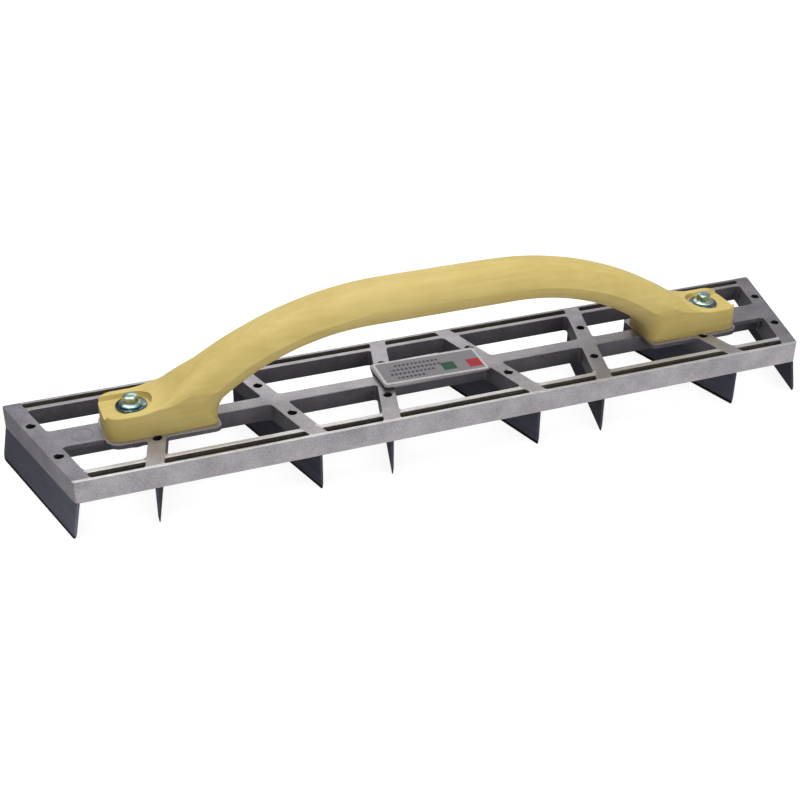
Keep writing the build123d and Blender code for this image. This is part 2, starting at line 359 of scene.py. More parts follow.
@dataclass(frozen=True)
class CastAlloy(Finish):
    """Cast light alloy: mottled satin grey with a fine sandy skin.

    The sand's grain is about 0.2 mm, too fine to show, so it is drawn at 0.9 mm.
    """

    dark: str = "#8E8A90"
    middle: str = "#A8A4A9"
    light: str = "#BDB9BB"
    roughness: float = 0.43
    metallic: float = 0.85
    skin_mm: float = 0.12
    # Colour of the painted shade at the bottom of the openings; none if empty.
    deep: str = ""
    deep_mm: float = 24.0
    shallow_mm: float = 35.4
    cloud_mm: float = 14.0
    sand_mm: float = 0.9
    sand_share: float = 0.6
    smoother: float = 0.08
    rougher: float = 0.1

    def paint(self, tree: bpy.types.NodeTree, shader: bpy.types.Node, place: Any) -> None:
        """Mottles the metal, paints shade that darkens it down the openings, and gives it the sand's
        skin.

        Args:
            tree: The material's node tree.
            shader: Its Principled shader.
            place: Object coordinates, in metres.
        """
        pattern = {"Vector": place, "Scale": repeats(self.cloud_mm), "Detail": 4.0, "Roughness": 0.6}
        cloud = add(tree, "ShaderNodeTexNoise", pattern).outputs[0]
        pattern = {"Vector": place, "Scale": repeats(self.sand_mm), "Detail": 3.0, "Roughness": 0.6}
        sand = add(tree, "ShaderNodeTexNoise", pattern).outputs[0]
        mix = {0: self.sand_share, 2: cloud, 3: sand}
        both = add(tree, "ShaderNodeMix", mix, data_type="FLOAT").outputs[0]
        stops = [(0.36, self.dark), (0.5, self.middle), (0.64, self.light)]
        colour = add(tree, "ShaderNodeValToRGB", {"Fac": both}, stops).outputs[0]
        # Painted shade: the colour darkens towards the deep colour down the openings.
        if self.deep:
            height = add(tree, "ShaderNodeSeparateXYZ", {"Vector": place}).outputs["Z"]
            limits = {"Value": height, "From Min": self.deep_mm * MM, "From Max": self.shallow_mm * MM}
            depth = add(tree, "ShaderNodeMapRange", limits).outputs[0]
            mix = {0: depth, 6: srgb(self.deep), 7: colour}
            colour = add(tree, "ShaderNodeMix", mix, data_type="RGBA").outputs[2]
        limits = {"Value": sand, "From Min": 0.3, "From Max": 0.7}
        limits |= {"To Min": self.roughness - self.smoother, "To Max": self.roughness + self.rougher}
        rough = add(tree, "ShaderNodeMapRange", limits).outputs[0]
        skin = {"Strength": 0.5, "Distance": self.skin_mm * MM, "Height": sand}
        bump = add(tree, "ShaderNodeBump", skin).outputs[0]
        tree.links.new(colour, shader.inputs["Base Color"])
        tree.links.new(rough, shader.inputs["Roughness"])
        tree.links.new(bump, shader.inputs["Normal"])
        shader.inputs["Metallic"].default_value = self.metallic


@dataclass(frozen=True)
class ScraperSteel(Finish):
    """Cold-rolled, blued scraper steel: dark and dull, with faint rolling lines and painted shade along
    the ground bevel.

    The lines are about 0.1 mm apart, too fine to show, so they are drawn some 3 mm apart.
    """

    dark: str = "#474751"
    light: str = "#52525D"
    # colour of the painted shade along the ground edge
    ground: str = "#1A191D"
    rim: str = "#5A5A66"
    bevel_mm: float = 2.0
    bevel_blur_mm: float = 0.5
    streak_mm: float = 8.0
    streak_squeeze: tuple[float, float, float] = (1.0, 0.25, 3.0)
    line_depth_mm: float = 0.05

    def paint(self, tree: bpy.types.NodeTree, shader: bpy.types.Node, place: Any) -> None:
        """Streaks the steel along its width and paints shade along the ground edge.

        Args:
            tree: The material's node tree.
            shader: Its Principled shader.
            place: Object coordinates, in metres.
        """
        rolled = {"Vector": place, "Scale": Vector(self.streak_squeeze)}
        along = add(tree, "ShaderNodeMapping", rolled).outputs["Vector"]
        pattern = {"Vector": along, "Scale": repeats(self.streak_mm), "Detail": 3.0, "Roughness": 0.6}
        streaks = add(tree, "ShaderNodeTexNoise", pattern).outputs[0]
        stops = [(0.35, self.dark), (0.68, self.light)]
        colour = add(tree, "ShaderNodeValToRGB", {"Fac": streaks}, stops).outputs[0]
        # Painted shade: the strip along the ground edge goes near black.
        height = add(tree, "ShaderNodeSeparateXYZ", {"Vector": place}).outputs["Z"]
        bevel_end = (self.bevel_mm + self.bevel_blur_mm) * MM
        limits = {"Value": height, "From Min": self.bevel_mm * MM, "From Max": bevel_end}
        above = add(tree, "ShaderNodeMapRange", limits).outputs[0]
        mix = {0: above, 6: srgb(self.ground), 7: colour}
        colour = add(tree, "ShaderNodeMix", mix, data_type="RGBA").outputs[2]
        lines = {"Strength": 0.15, "Distance": self.line_depth_mm * MM, "Height": streaks}
        bump = add(tree, "ShaderNodeBump", lines).outputs[0]
        tree.links.new(colour, shader.inputs["Base Color"])
        tree.links.new(bump, shader.inputs["Normal"])
        shader.inputs["Specular Tint"].default_value = srgb(self.rim)
        shader.inputs["Metallic"].default_value = 0.8
        shader.inputs["Roughness"].default_value = 0.5


@dataclass(frozen=True)
class LacqueredWood(Finish):
    """Beech, sanded and dipped in thick yellowish lacquer: faint long grain under a satin, uneven coat.

    The pores of beech are under 0.1 mm, too fine to show, so the grain is drawn as 3 mm bands.
    """

    shade: str = "#BFA759"
    middle: str = "#CCB66A"
    light: str = "#D6C178"
    grain_mm: float = 3.0
    grain_squeeze: tuple[float, float, float] = (0.06, 1.0, 1.0)
    cloud_mm: float = 30.0
    brush_mm: float = 2.2
    brush_squeeze: tuple[float, float, float] = (0.35, 1.0, 1.0)
    brush_depth_mm: float = 0.2

    def paint(self, tree: bpy.types.NodeTree, shader: bpy.types.Node, place: Any) -> None:
        """Draws long faint grain and soft clouds, under a satin coat.

        Args:
            tree: The material's node tree.
            shader: Its Principled shader.
            place: Object coordinates, in metres.
        """
        squeezed = {"Vector": place, "Scale": Vector(self.grain_squeeze)}
        along = add(tree, "ShaderNodeMapping", squeezed).outputs["Vector"]
        pattern = {"Vector": along, "Scale": repeats(self.grain_mm), "Detail": 4.0, "Roughness": 0.6}
        long_grain = add(tree, "ShaderNodeTexNoise", pattern).outputs[0]
        pattern = {"Vector": place, "Scale": repeats(self.cloud_mm), "Detail": 2.0, "Roughness": 0.6}
        cloud = add(tree, "ShaderNodeTexNoise", pattern).outputs[0]
        mix = {0: 0.5, 2: cloud, 3: long_grain}
        both = add(tree, "ShaderNodeMix", mix, data_type="FLOAT").outputs[0]
        stops = [(0.28, self.shade), (0.5, self.middle), (0.72, self.light)]
        colour = add(tree, "ShaderNodeValToRGB", {"Fac": both}, stops).outputs[0]
        brushed = {"Vector": place, "Scale": Vector(self.brush_squeeze)}
        strokes = add(tree, "ShaderNodeMapping", brushed).outputs["Vector"]
        pattern = {"Vector": strokes, "Scale": repeats(self.brush_mm), "Detail": 3.0, "Roughness": 0.6}
        fine = add(tree, "ShaderNodeTexNoise", pattern).outputs[0]
        coat = {"Strength": 0.35, "Distance": self.brush_depth_mm * MM, "Height": fine}
        bump = add(tree, "ShaderNodeBump", coat).outputs[0]
        tree.links.new(colour, shader.inputs["Base Color"])
        tree.links.new(bump, shader.inputs["Normal"])
        shader.inputs["Roughness"].default_value = 0.6
        shader.inputs["Coat Weight"].default_value = 0.12
        shader.inputs["Coat Roughness"].default_value = 0.5


@dataclass(frozen=True)
class BrightZinc(Finish):
    """Zinc-plated, blue-passivated steel: pale, slightly green-blue and shiny."""

    deep: str = "#8FA9A8"
    middle: str = "#B4C8C0"
    pale: str = "#D3DCCF"
    roughness: float = 0.3
    cloud_mm: float = 4.0

    def paint(self, tree: bpy.types.NodeTree, shader: bpy.types.Node, place: Any) -> None:
        """Clouds the passivation between green and blue.

        Args:
            tree: The material's node tree.
            shader: Its Principled shader.
            place: Object coordinates, in metres.
        """
        pattern = {"Vector": place, "Scale": repeats(self.cloud_mm), "Detail": 2.0, "Roughness": 0.6}
        cloud = add(tree, "ShaderNodeTexNoise", pattern).outputs[0]
        stops = [(0.38, self.deep), (0.5, self.middle), (0.62, self.pale)]
        colour = add(tree, "ShaderNodeValToRGB", {"Fac": cloud}, stops).outputs[0]
        tree.links.new(colour, shader.inputs["Base Color"])
        shader.inputs["Metallic"].default_value = 1.0
        shader.inputs["Roughness"].default_value = self.roughness


@dataclass(frozen=True)
class InkBlock:
    """One plain rectangle of ink on the label, in the label's own frame."""

    x: float
    y: float
    half_length: float
    half_width: float
    code: str
    dashed: bool = False


@dataclass(frozen=True)
class PrintedFoil(Finish):
    """Printed silver-foil label under matt film: pale rim, grey field and plain blocks of ink.

    The foil's brushing is under 0.1 mm, too fine to show, so its flecks are drawn at 2 mm.
    """

    middle_x: float = -4.6
    turn_degrees: float = -1.7
    foil_dark: str = "#CFCDD2"
    foil_light: str = "#E6E4E8"
    fleck_mm: float = 2.0
    dash_mm: float = 2.6
    dash_share: float = 0.62
    blocks: tuple[InkBlock, ...] = (
        InkBlock(0.0, 0.0, 31.4, 11.7, "#8F8D95"),
        InkBlock(-7.0, 6.5, 14.0, 1.1, "#36343A", dashed=True),
        InkBlock(-9.0, 1.6, 16.0, 1.1, "#36343A", dashed=True),
        InkBlock(-12.0, -3.2, 14.0, 1.1, "#36343A", dashed=True),
        InkBlock(-14.0, -8.0, 9.0, 1.1, "#36343A", dashed=True),
        InkBlock(10.9, -3.0, 4.2, 4.6, "#06522F"),
        InkBlock(27.0, -4.0, 4.2, 4.8, "#B80A20"),
    )

    def paint(self, tree: bpy.types.NodeTree, shader: bpy.types.Node, place: Any) -> None:
        """Lays the ink blocks on the foil one after another, in the label's own turned frame.

        Args:
            tree: The material's node tree.
            shader: Its Principled shader.
            place: Object coordinates, in metres.
        """
        turned_frame = {"Vector": place, "Location": Vector((self.middle_x * MM, 0.0, 0.0))}
        turned_frame["Rotation"] = Vector((0.0, 0.0, math.radians(self.turn_degrees)))
        own = add(tree, "ShaderNodeMapping", turned_frame, vector_type="TEXTURE").outputs["Vector"]
        axes = add(tree, "ShaderNodeSeparateXYZ", {"Vector": own}).outputs
        pattern = {"Vector": place, "Scale": repeats(self.fleck_mm), "Detail": 3.0, "Roughness": 0.6}
        flecks = add(tree, "ShaderNodeTexNoise", pattern).outputs[0]
        stops = [(0.35, self.foil_dark), (0.65, self.foil_light)]
        colour = add(tree, "ShaderNodeValToRGB", {"Fac": flecks}, stops).outputs[0]
        counted = {0: axes["X"], 1: 1 / (self.dash_mm * MM)}
        count = add(tree, "ShaderNodeMath", counted, operation="MULTIPLY").outputs[0]
        part = add(tree, "ShaderNodeMath", {0: count}, operation="FRACT").outputs[0]
        cut_off = {0: part, 1: self.dash_share}
        dash = add(tree, "ShaderNodeMath", cut_off, operation="LESS_THAN").outputs[0]
        for block in self.blocks:
            along = {0: axes["X"], 1: block.x * MM, 2: block.half_length * MM}
            along = add(tree, "ShaderNodeMath", along, operation="COMPARE").outputs[0]
            across = {0: axes["Y"], 1: block.y * MM, 2: block.half_width * MM}
            across = add(tree, "ShaderNodeMath", across, operation="COMPARE").outputs[0]
            mask = add(tree, "ShaderNodeMath", {0: along, 1: across}, operation="MULTIPLY").outputs[0]
            if block.dashed:
                mask = add(tree, "ShaderNodeMath", {0: mask, 1: dash}, operation="MULTIPLY").outputs[0]
            mix = {0: mask, 6: colour, 7: srgb(block.code)}
            colour = add(tree, "ShaderNodeMix", mix, data_type="RGBA").outputs[2]
        tree.links.new(colour, shader.inputs["Base Color"])
        shader.inputs["Specular IOR Level"].default_value = 0.15
        shader.inputs["Roughness"].default_value = 0.35


@dataclass(frozen=True)
class PaleFloor(Finish):
    """Plain matt white sheet: even white to look at, and it throws its light mostly from the front."""

    sheet: str = "#7F7F80"
    front_glow: float = 0.7
    back_glow: float = 0.25
    glow_turns_mm: tuple[float, float] = (-60.0, 30.0)
    seen: float = 0.88

    def paint(self, tree: bpy.types.NodeTree, shader: bpy.types.Node, place: Any) -> None:
        """Sets an even white to look at, and a glow that lights the tool more from the front.

        Args:
            tree: The material's node tree.
            shader: Its Principled shader.
            place: Object coordinates, in metres.
        """
        shader.inputs["Base Color"].default_value = srgb(self.sheet)
        shader.inputs["Roughness"].default_value = 0.9
        shader.inputs["Emission Color"].default_value = srgb("#FFFFFF")
        across = add(tree, "ShaderNodeSeparateXYZ", {"Vector": place}).outputs["Y"]
        front, back = (turn * MM for turn in self.glow_turns_mm)
        limits = {"Value": across, "From Min": front, "From Max": back}
        limits |= {"To Min": self.front_glow, "To Max": self.back_glow}
        thrown = add(tree, "ShaderNodeMapRange", limits).outputs[0]
        looked_at = add(tree, "ShaderNodeLightPath").outputs["Is Camera Ray"]
        limits = {"Value": looked_at, "To Min": thrown, "To Max": self.seen}
        glow = add(tree, "ShaderNodeMapRange", limits).outputs[0]
        tree.links.new(glow, shader.inputs["Emission Strength"])


# Outer faces and bar tops take the lit copy of the alloy, brighter and smoother than the copies painted
# with shade.
LIT_ALLOY = CastAlloy("cast_alloy_lit_copy")
# The end bars get a darker, rougher copy of the alloy as a painted reflection of darker surroundings.
END_SHADE_ALLOY = CastAlloy("end_bars_painted_shade", "#767379", "#8E8B92", "#A2A0A5", 0.5)
# Walls of the windows get a darker, rougher copy of the alloy as painted shade, darker still towards the
# bottom.
WALL_SHADE_ALLOY = CastAlloy("window_walls_painted_shade", "#56545A", "#68656C", "#7C7980", 0.6, 0.5, 0.2, "#47454B")
# The grooves get a dark olive copy of the alloy as painted shade, going near black down their walls.
GROOVE_SHADE_ALLOY = CastAlloy(
    "groove_painted_shade", "#4A463C", "#625D50", "#7C7666", 0.8, 0.2, 0.3, "#1A1815", 31.5
)
# The thin walls beside the front groove get a pale copy of the alloy as a painted highlight.
RIM_HIGHLIGHT_ALLOY = CastAlloy("front_rims_painted_highlight", "#C2BFC3", "#D2CFD2", "#E2E0E1", 0.4)
# Core-pin holes are painted black inside, as painted shade.
HOLE_SHADE_ALLOY = CastAlloy("core_holes_painted_shade", "#0D0C10", "#141218", "#1E1C22", 0.8, 0.1, 0.1)
# Blued sheet steel looks nearly black, with a dull bluish sheen.
BLADE_STEEL = ScraperSteel("blued_scraper_steel")
# The left end blade is painted paler than the others, as painted light.
LIT_BLADE_STEEL = ScraperSteel("left_blade_painted_light", "#686872", "#747480", "#2C2A30", "#80808C")
# Thick yellowish lacquer turns beech a warm straw colour and hides most of its grain.
WOOD = LacqueredWood("lacquered_beech")
# Blue passivation gives zinc a pale, shiny, slightly green-blue skin.
ZINC = BrightZinc("blue_passivated_zinc")
# The washers are painted darker and bluer than the bolts, as painted shade and dark reflections.
SHADED_WASHER_ZINC = BrightZinc("washer_zinc_painted_shade", "#34505C", "#4D6973", "#7E979E", 0.22)
# Foil under matt film looks like pale paint more than like metal.
FOIL = PrintedFoil("printed_foil")
# A matt sheet is plain white, with no sheen.
FLOOR = PaleFloor("matt_white_sheet")


# ------------------------------------------------------------------ the lattice casting
@dataclass
class LatticeCasting:
    """Cast lattice with grooved rails, slanted bars, a spine, foot pads and the label pad."""

    mean_length: float = 477.0
    width: float = 94.0
    slant_degrees: float = 15.0
    bars: int = 8
    bar_width: float = 10.0
    end_inset: float = 5.0  # from the end to the middle of the end bar
    end_bay_shortening: float = 4.5  # how much shorter the two end bays are
    top: float = 36.0
    rail_bottom: float = 22.2
    web_bottom: float = 25.5
    groove_bottom: float = 28.0
    outer_wall: float = 2.1
    groove: float = 5.0
    inner_wall: float = 3.4
    spine: float = 10.0
    end_plate: float = 19.0
    plate: float = 3.0
    pad_start: float = 137.7
    pad_end: float = 202.3
    pad_width: float = 38.2
    window_corner: float = 3.0
    groove_corner: float = 1.1
    pad_toe_corner: float = 8.5
    pad_heel_corner: float = 4.0
    pad_root: float = 0.9
    frame_corner: float = 1.9
    edge_softness: float = 0.4
    hole_diameter: float = 5.0
    hole_spacing: float = 36.8
    hole_depth: float = 5.0
    hole_flare: float = 0.35
    cutter_rise: float = 1.0  # how far the hole cutter stands above the top
    bolt_x: float = 184.5
    boss_diameter: float = 16.0
    tapped_diameter: float = 6.1
    label_pad_x: float = -4.6
    label_pad_size: tuple[float, float] = (68.0, 28.6)
    label_pad_top: float = 38.6
    label_rim: float = 1.0
    label_corner: float = 2.0
    label_edge: float = 0.25
    label_foot_drop: float = 5.0  # how deep the pad reaches into the spine
    label_foot_inset: float = 0.2  # how far its foot stays inside the spine's sides
    label_foot_share: float = 0.99  # length of its foot, as a share of the pad's
    boss_chamfer: float = 0.5
    boss_recess: float = 0.6  # how far below the top the bosses end
    ring_x: float = -213.0
    ring_radius: float = 6.0
    ring_half_foot: float = 0.6
    ring_half_top: float = 0.35
    ring_height: float = 0.18
    ring_root: float = 0.3  # how deep the ring reaches into the spine
    waviness: float = 0.12
    wave_step: float = 9.5
    side_wave: float = 17.0  # length of the waves on the outer faces
    foot_wave: float = 6.0  # length of the waves under the rails
    wavy_skin: float = 1.0  # depth of the skin that waves
    outer_skin: float = 1.5  # depth of the skin that counts as the outer face
    bright_edge: float = 0.6  # strip along the rails that the painted shade of the end bars leaves out
    end_play: float = 0.5  # how far the painted shade of the end bars reaches past them
    corner_steps: int = 4
    edge_steps: int = 2

    @property
    def lean(self) -> float:
        """Sideways run of a bar for each millimetre along Y."""
        return math.tan(math.radians(self.slant_degrees))

    @property
    def half_bar(self) -> float:
        """Half a bar's width, measured along X."""
        return self.bar_width / 2 / math.cos(math.radians(self.slant_degrees))

    def bar_side(self, number: int) -> int:
        """+1 for a bar whose back end lies to the right, -1 to the left."""
        return -1 if number % 2 else 1

    def bar_x(self, number: int, y: float = 0.0) -> float:
        """Middle of a bar at a distance y from the tool's middle line.

        Args:
            number: Bar number from the left, from 1.
            y: Distance towards the back.

        Returns:
            The place along X.
        """
        pitch = (self.mean_length - 2 * self.end_inset + 2 * self.end_bay_shortening) / (self.bars - 1)
        base = (number - (self.bars + 1) / 2) * pitch
        if number in (1, self.bars):
            base = math.copysign(self.mean_length / 2 - self.end_inset, base)
        return base + self.bar_side(number) * self.lean * y

    def zone(self, x: float, y: float) -> Zone:
        """Tells what a patch of the plan belongs to.

        Args:
            x: Place along the tool.
            y: Place across the tool.

        Returns:
            The zone of that patch.
        """
        across = abs(y)
        on_end = x < self.bar_x(1, y) + self.half_bar or x > self.bar_x(self.bars, y) - self.half_bar
        if on_end or across > self.width / 2 - self.outer_wall:
            return Zone.WALL
        on_bar = any(abs(x - self.bar_x(n, y)) < self.half_bar for n in range(1, self.bars + 1))
        groove_inside = self.width / 2 - self.outer_wall - self.groove
        if not on_bar and across > groove_inside:
            return Zone.GROOVE
        if on_bar or across > groove_inside - self.inner_wall or across < self.spine / 2:
            return Zone.RIB
        on_pad = self.pad_start < abs(x) < self.pad_end and across < self.pad_width / 2
        beyond_pad = abs(x) > self.pad_end and across < self.end_plate / 2
        return Zone.PLATE if on_pad or beyond_pad else Zone.WINDOW

    def plan(self) -> tuple[bmesh.types.BMesh, Callable[[Any], Zone]]:
        """Cuts a flat slab into the lattice's patches and opens its windows.

        Returns:
            The flat mesh, and a function that gives a face's zone.
        """
        bm = bmesh.new()
        half = self.width / 2
        outline = []
        for side, y in ((-1, -half), (1, -half), (1, half), (-1, half)):
            x = side * (self.mean_length / 2 + self.lean * y)
            outline.append(bm.verts.new((x, y, self.top)))
        bm.faces.new(outline)
        wall = half - self.outer_wall
        lines = [wall, wall - self.groove, wall - self.groove - self.inner_wall]
        lines += [self.pad_width / 2, self.end_plate / 2, self.spine / 2]
        cuts = [(Vector((0, side * y, 0)), Vector((0, 1, 0))) for y in lines for side in (-1, 1)]
        for number in range(1, self.bars + 1):
            normal = Vector((1, -self.bar_side(number) * self.lean, 0))
            for side in (-1, 1):
                cuts.append((Vector((self.bar_x(number) + side * self.half_bar, 0, 0)), normal))
        for x in (self.pad_start, self.pad_end):
            cuts += [(Vector((side * x, 0, 0)), Vector((1, 0, 0))) for side in (-1, 1)]
        for place, normal in cuts:
            everything = bm.verts[:] + bm.edges[:] + bm.faces[:]
            bmesh.ops.bisect_plane(bm, geom=everything, dist=WELD, plane_co=place, plane_no=normal)

        def zone_of(face: bmesh.types.BMFace) -> Zone:
            """Zone of a face by its middle."""
            middle = face.calc_center_median()
            return self.zone(middle.x, middle.y)

        windows = [face for face in bm.faces if zone_of(face) is Zone.WINDOW]
        bmesh.ops.delete(bm, geom=windows, context="FACES")
        return bm, zone_of

    def lattice(self) -> bmesh.types.BMesh:
        """Gives the plan its depths, then rounds its corners and edges.

        Returns:
            The closed lattice.
        """
        bm, zone_of = self.plan()
        roof = bm.faces[:]
        floor = push(bm, roof, Vector((0, 0, -self.plate)), keep=True)
        deep = [face for face in floor if zone_of(face) is not Zone.PLATE]
        floor = push(bm, deep, Vector((0, 0, self.web_bottom - self.top + self.plate)))
        walls = [face for face in floor if zone_of(face) is Zone.WALL]
        push(bm, walls, Vector((0, 0, self.rail_bottom - self.web_bottom)))
        bmesh.ops.recalc_face_normals(bm, faces=bm.faces)
        grooves = [
            face
            for face in bm.faces
            if face.calc_center_median().z > self.top - SLACK and zone_of(face) is Zone.GROOVE
        ]
        push(bm, grooves, Vector((0, 0, self.groove_bottom - self.top)))
        bmesh.ops.recalc_face_normals(bm, faces=bm.faces)
        self.round_corners(bm)
        self.soften_edges(bm)
        self.make_wavy(bm)
        return bm

    def corner_radius(self, edge: bmesh.types.BMEdge) -> float:
        """Radius that an upright corner is rounded to.

        Args:
            edge: The corner's edge.

        Returns:
            The radius in millimetres.
        """
        middle = (edge.verts[0].co + edge.verts[1].co) / 2
        along, across = abs(middle.x), abs(middle.y)
        if across > self.width / 2 - SLACK:
            return self.frame_corner
        if across > self.width / 2 - self.outer_wall - self.groove - SLACK:
            return self.groove_corner
        if edge.is_convex:
            return self.pad_toe_corner if along > self.bolt_x else self.pad_heel_corner
        if min(abs(along - x) for x in (self.pad_start, self.pad_end)) < SLACK:
            return self.pad_root
        return self.window_corner

    def round_corners(self, bm: bmesh.types.BMesh) -> None:
        """Rounds the upright corners of windows, grooves, pads and the frame.

        Args:
            bm: Sharp-cornered lattice.
        """
        paired = [edge for edge in bm.edges if len(edge.link_faces) == 2]
        walls = [edge for edge in paired if abs(edge.link_faces[0].normal.z) < 0.5]
        flush = [edge for edge in walls if edge.calc_face_angle(0.0) < FLUSH]
        bmesh.ops.dissolve_edges(bm, edges=flush, use_verts=True)
        groups: dict[float, list] = {}
        for edge in bm.edges:
            if is_upright(edge) and len(edge.link_faces) == 2 and edge.calc_face_angle(0.0) > CORNER:
                groups.setdefault(self.corner_radius(edge), []).append(edge)
        for radius, edges in groups.items():
            bevel(bm, [edge for edge in edges if edge.is_valid], radius, self.corner_steps)
        bmesh.ops.dissolve_degenerate(bm, dist=TINY, edges=bm.edges)

    def soften_edges(self, bm: bmesh.types.BMesh) -> None:
        """Eases every outward edge a little.

        Args:
            bm: Lattice with its corners rounded.
        """
        outward = [edge for edge in bm.edges if len(edge.link_faces) == 2 and edge.is_convex]
        sharp = [edge for edge in outward if is_level(edge) and edge.calc_face_angle(0.0) > SHARP]
        bevel(bm, sharp, self.edge_softness, self.edge_steps)

    def make_wavy(self, bm: bmesh.types.BMesh) -> None:
        """Adds cross cuts along the tool and moves the skin a little, as a casting is never quite flat.

        Args:
            bm: Finished lattice, still perfectly flat.
        """
        reach = int(self.mean_length / 2 / self.wave_step) + 2
        for step in range(-reach, reach + 1):
            everything = bm.verts[:] + bm.edges[:] + bm.faces[:]
            place = Vector((step * self.wave_step, 0, 0))
            bmesh.ops.bisect_plane(
                bm, geom=everything, dist=WELD, plane_co=place, plane_no=Vector((1, 0, 0))
            )
        for vert in bm.verts:
            inwards = noise.noise(vert.co / self.side_wave) * 0.5 + 0.5
            if abs(vert.co.y) > self.width / 2 - self.wavy_skin:
                vert.co.y -= math.copysign(self.waviness * inwards, vert.co.y)
            if vert.co.z < self.rail_bottom + self.wavy_skin:
                vert.co.z += self.waviness * (noise.noise(vert.co / self.foot_wave) * 0.5 + 0.5)

    def holes(self) -> bpy.types.Object:
        """Builds the cutter for the core-pin holes, each with a small flare at its mouth.

        Returns:
            The cutter.
        """
        bm = bmesh.new()
        radius = self.hole_diameter / 2
        mouth = radius + self.hole_flare
        profile = [(0.0, -self.hole_depth), (radius, -self.hole_depth), (radius, -self.hole_flare)]
        profile += [(mouth, 0.0), (mouth, self.cutter_rise), (0.0, self.cutter_rise)]
        for number in range(1, self.bars + 1):
            for y in (-self.hole_spacing / 2, self.hole_spacing / 2):
                turned(bm, profile, Vector((self.bar_x(number, y), y, self.top)), steps=24)
        return as_object(bm, "hole_cutter")

    def from_bar(self, x: float, y: float) -> float:
        """Distance along X from a place to the middle of the nearest bar."""
        return min(abs(x - self.bar_x(number, y)) for number in range(1, self.bars + 1))

    def in_hole(self, x: float, y: float) -> bool:
        """Whether a place on the plan lies in one of the core-pin holes.

        Args:
            x: Place along the tool.
            y: Place across the tool.

        Returns:
            True inside a hole's mouth.
        """
        away = abs(abs(y) - self.hole_spacing / 2)
        return math.hypot(self.from_bar(x, y), away) < self.hole_diameter / 2 + self.hole_flare

    def on_front_rim(self, x: float, y: float) -> bool:
        """Whether a place on top lies on one of the two thin walls beside the front groove.

        Args:
            x: Place along the tool.
            y: Place across the tool.

        Returns:
            True on those walls.
        """
        outer_wall = self.width / 2 - self.outer_wall
        if -y < outer_wall - self.groove - self.inner_wall:
            return False
        return -y > outer_wall or self.from_bar(x, y) > self.half_bar

    def on_end(self, x: float, y: float) -> bool:
        """Whether a place on top lies on an end bar or on the short end plate beside it.

        Args:
            x: Place along the tool.
            y: Place across the tool.

        Returns:
            True there, except along the very edge of the rails.
        """
        if abs(y) > self.width / 2 - self.bright_edge:
            return False
        reach = self.half_bar + self.end_play
        on_bar = x < self.bar_x(1, y) + reach or x > self.bar_x(self.bars, y) - reach
        return on_bar or (abs(x) > self.pad_end and abs(y) < self.end_plate / 2)

    def label_pad(self) -> bmesh.types.BMesh:
        """Raised pad whose underside slopes in to the spine.

        Returns:
            The closed pad.
        """
        bm = bmesh.new()
        length, width = self.label_pad_size
        bmesh.ops.create_grid(bm, x_segments=1, y_segments=1, size=0.5)
        bmesh.ops.scale(bm, vec=Vector((length, width, 1)), verts=bm.verts)
        bmesh.ops.translate(bm, vec=Vector((self.label_pad_x, 0, self.label_pad_top)), verts=bm.verts)
        bmesh.ops.bevel(
            bm,
            geom=bm.verts[:],
            offset=self.label_corner,
            segments=self.corner_steps,
            profile=0.5,
            affect="VERTICES",
            material=-1,
        )
        rim = push(bm, bm.faces[:], Vector((0, 0, -self.label_rim)), keep=True)
        drop = self.label_pad_top - self.label_rim - (self.top - self.label_foot_drop)
        foot = push(bm, rim, Vector((0, 0, -drop)))
        inner = list({vert for face in foot for vert in face.verts})
        narrow = (self.spine - 2 * self.label_foot_inset) / width
        bmesh.ops.scale(bm, vec=Vector((self.label_foot_share, narrow, 1)), verts=inner)
        bmesh.ops.recalc_face_normals(bm, faces=bm.faces)
        edges = [edge for edge in bm.edges if edge.is_convex and edge.calc_face_angle(0.0) > SHARP]
        edges = [edge for edge in edges if is_level(edge) and edge.verts[0].co.z > self.top]
        bevel(bm, edges, self.label_edge, self.edge_steps)
        return bm

    def bosses(self) -> bmesh.types.BMesh:
        """Two round bosses with tapped bores, under the pads.

        Returns:
            Two closed rings.
        """
        bm = bmesh.new()
        inside, outside = self.tapped_diameter / 2, self.boss_diameter / 2
        low, high = self.web_bottom, self.top - self.boss_recess
        profile = [(inside, low), (outside - self.boss_chamfer, low), (outside, low + self.boss_chamfer)]
        profile += [(outside, high), (inside, high)]
        for side in Side:
            turned(bm, profile, Vector((side.value * self.bolt_x, 0, 0)), steps=40)
        return bm

    def ring_mark(self) -> bmesh.types.BMesh:
        """Plain low ring cast on the spine near its left end.

        Returns:
            The closed ring.
        """
        bm = bmesh.new()
        radius, foot, top = self.ring_radius, self.ring_half_foot, self.ring_half_top
        profile = [(radius - foot, -self.ring_root), (radius - top, self.ring_height)]
        profile += [(radius + top, self.ring_height), (radius + foot, -self.ring_root)]
        turned(bm, profile, Vector((self.ring_x, 0, self.top)), steps=48)
        return bm

    def finish_at(self, place: Vector) -> Finish:
        """Finish of a patch of the casting's skin.

        Args:
            place: Middle of the patch.

        Returns:
            Its finish.
        """
        across = abs(place.y)
        end = self.mean_length / 2 + self.lean * place.y
        outer = across > self.width / 2 - self.outer_skin or abs(place.x) > end - self.outer_skin
        wall = self.width / 2 - self.outer_wall
        in_groove = wall - self.groove - SLACK < across < wall + SLACK
        rim = self.top - self.edge_softness
